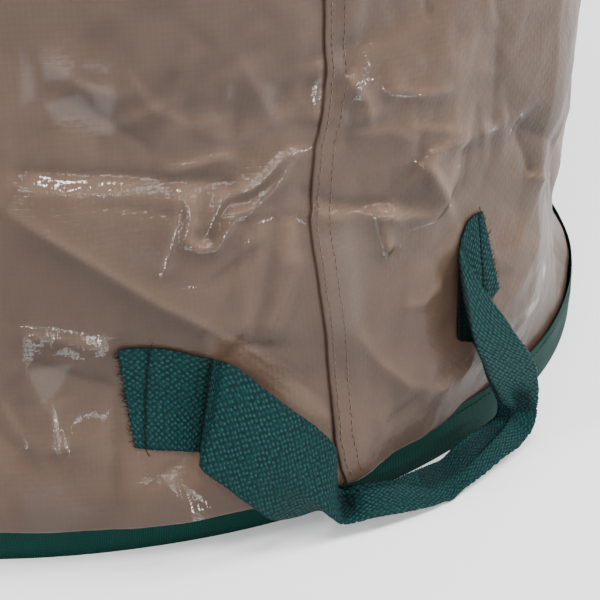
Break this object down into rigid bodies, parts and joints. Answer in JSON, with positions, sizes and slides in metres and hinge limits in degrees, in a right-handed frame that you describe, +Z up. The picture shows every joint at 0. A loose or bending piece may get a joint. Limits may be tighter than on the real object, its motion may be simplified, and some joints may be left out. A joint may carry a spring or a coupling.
{
  "type": "garden waste bag",
  "caption": "Round self-standing garden waste bag of coated woven cloth, with a hooped rim, webbing carrying handles and a low tipping handle.",
  "frame": {"origin": "centre of the underside of the base, on the floor", "axes": "+Z up through the open top; -Y is the side with the side seam and the tipping handle; +X is to the right seen from that side"},
  "size_m": [0.738, 0.7044, 0.76],
  "materials": {
    "wall_cloth": "laminated woven tape cloth, semi-gloss, creased",
    "base_cloth": "laminated woven tape cloth, semi-gloss",
    "edge_tape": "matt woven binding tape",
    "webbing": "coarse matt plain-weave webbing",
    "beige_thread": "twisted sewing thread",
    "green_thread": "twisted sewing thread",
    "hoop_rod": "extruded plastic rod",
    "joint_sleeve": "plastic tube"
  },
  "bodies": {
    "root": {"wall_panel": "wall_cloth", "base_panel": "base_cloth", "base_edge_binding": "edge_tape", "base_seam_thread": "green_thread", "side_seam_thread_1": "beige_thread", "side_seam_thread_2": "beige_thread", "tipping_handle_left_end": "webbing", "tipping_handle_left_stitch_outer": "green_thread", "tipping_handle_left_stitch_inner": "green_thread", "tipping_handle_right_end": "webbing", "tipping_handle_right_stitch_outer": "green_thread", "tipping_handle_right_stitch_inner": "green_thread"},
    "rim": {"rim_hem": "wall_cloth", "rim_edge_binding": "edge_tape", "rim_hem_thread": "beige_thread", "rim_binding_thread": "green_thread", "rim_hoop": "hoop_rod", "hoop_joint_sleeve": "joint_sleeve", "left_handle_front_end": "webbing", "left_handle_front_stitch_outer": "green_thread", "left_handle_front_stitch_inner": "green_thread", "left_handle_rear_end": "webbing", "left_handle_rear_stitch_outer": "green_thread", "left_handle_rear_stitch_inner": "green_thread", "right_handle_front_end": "webbing", "right_handle_front_stitch_outer": "green_thread", "right_handle_front_stitch_inner": "green_thread", "right_handle_rear_end": "webbing", "right_handle_rear_stitch_outer": "green_thread", "right_handle_rear_stitch_inner": "green_thread"},
    "tipping_handle": {"tipping_handle_loop": "webbing"},
    "left_handle": {"left_handle_loop": "webbing"},
    "right_handle": {"right_handle_loop": "webbing"}
  },
  "joints": [
    {"name": "rim_collapse", "type": "slide", "parent": "root", "child": "rim", "axis": [0, 0, -1], "range_m": [0, 0.4], "deforming": ["wall_panel", "side_seam_thread_1", "side_seam_thread_2"]},
    {"name": "tipping_handle_swing", "type": "hinge", "parent": "root", "child": "tipping_handle", "pos_m": [0.01122, -0.32941, 0.114], "axis": [-0.9872, -0.0336, -0.1558], "range_deg": [0, 130]},
    {"name": "left_handle_swing", "type": "hinge", "parent": "rim", "child": "left_handle", "pos_m": [-0.32929, 0, 0.711], "axis": [0, 1, 0], "range_deg": [0, 140]},
    {"name": "right_handle_swing", "type": "hinge", "parent": "rim", "child": "right_handle", "pos_m": [0.32929, 0, 0.711], "axis": [0, -1, 0], "range_deg": [0, 140]}
  ]
}
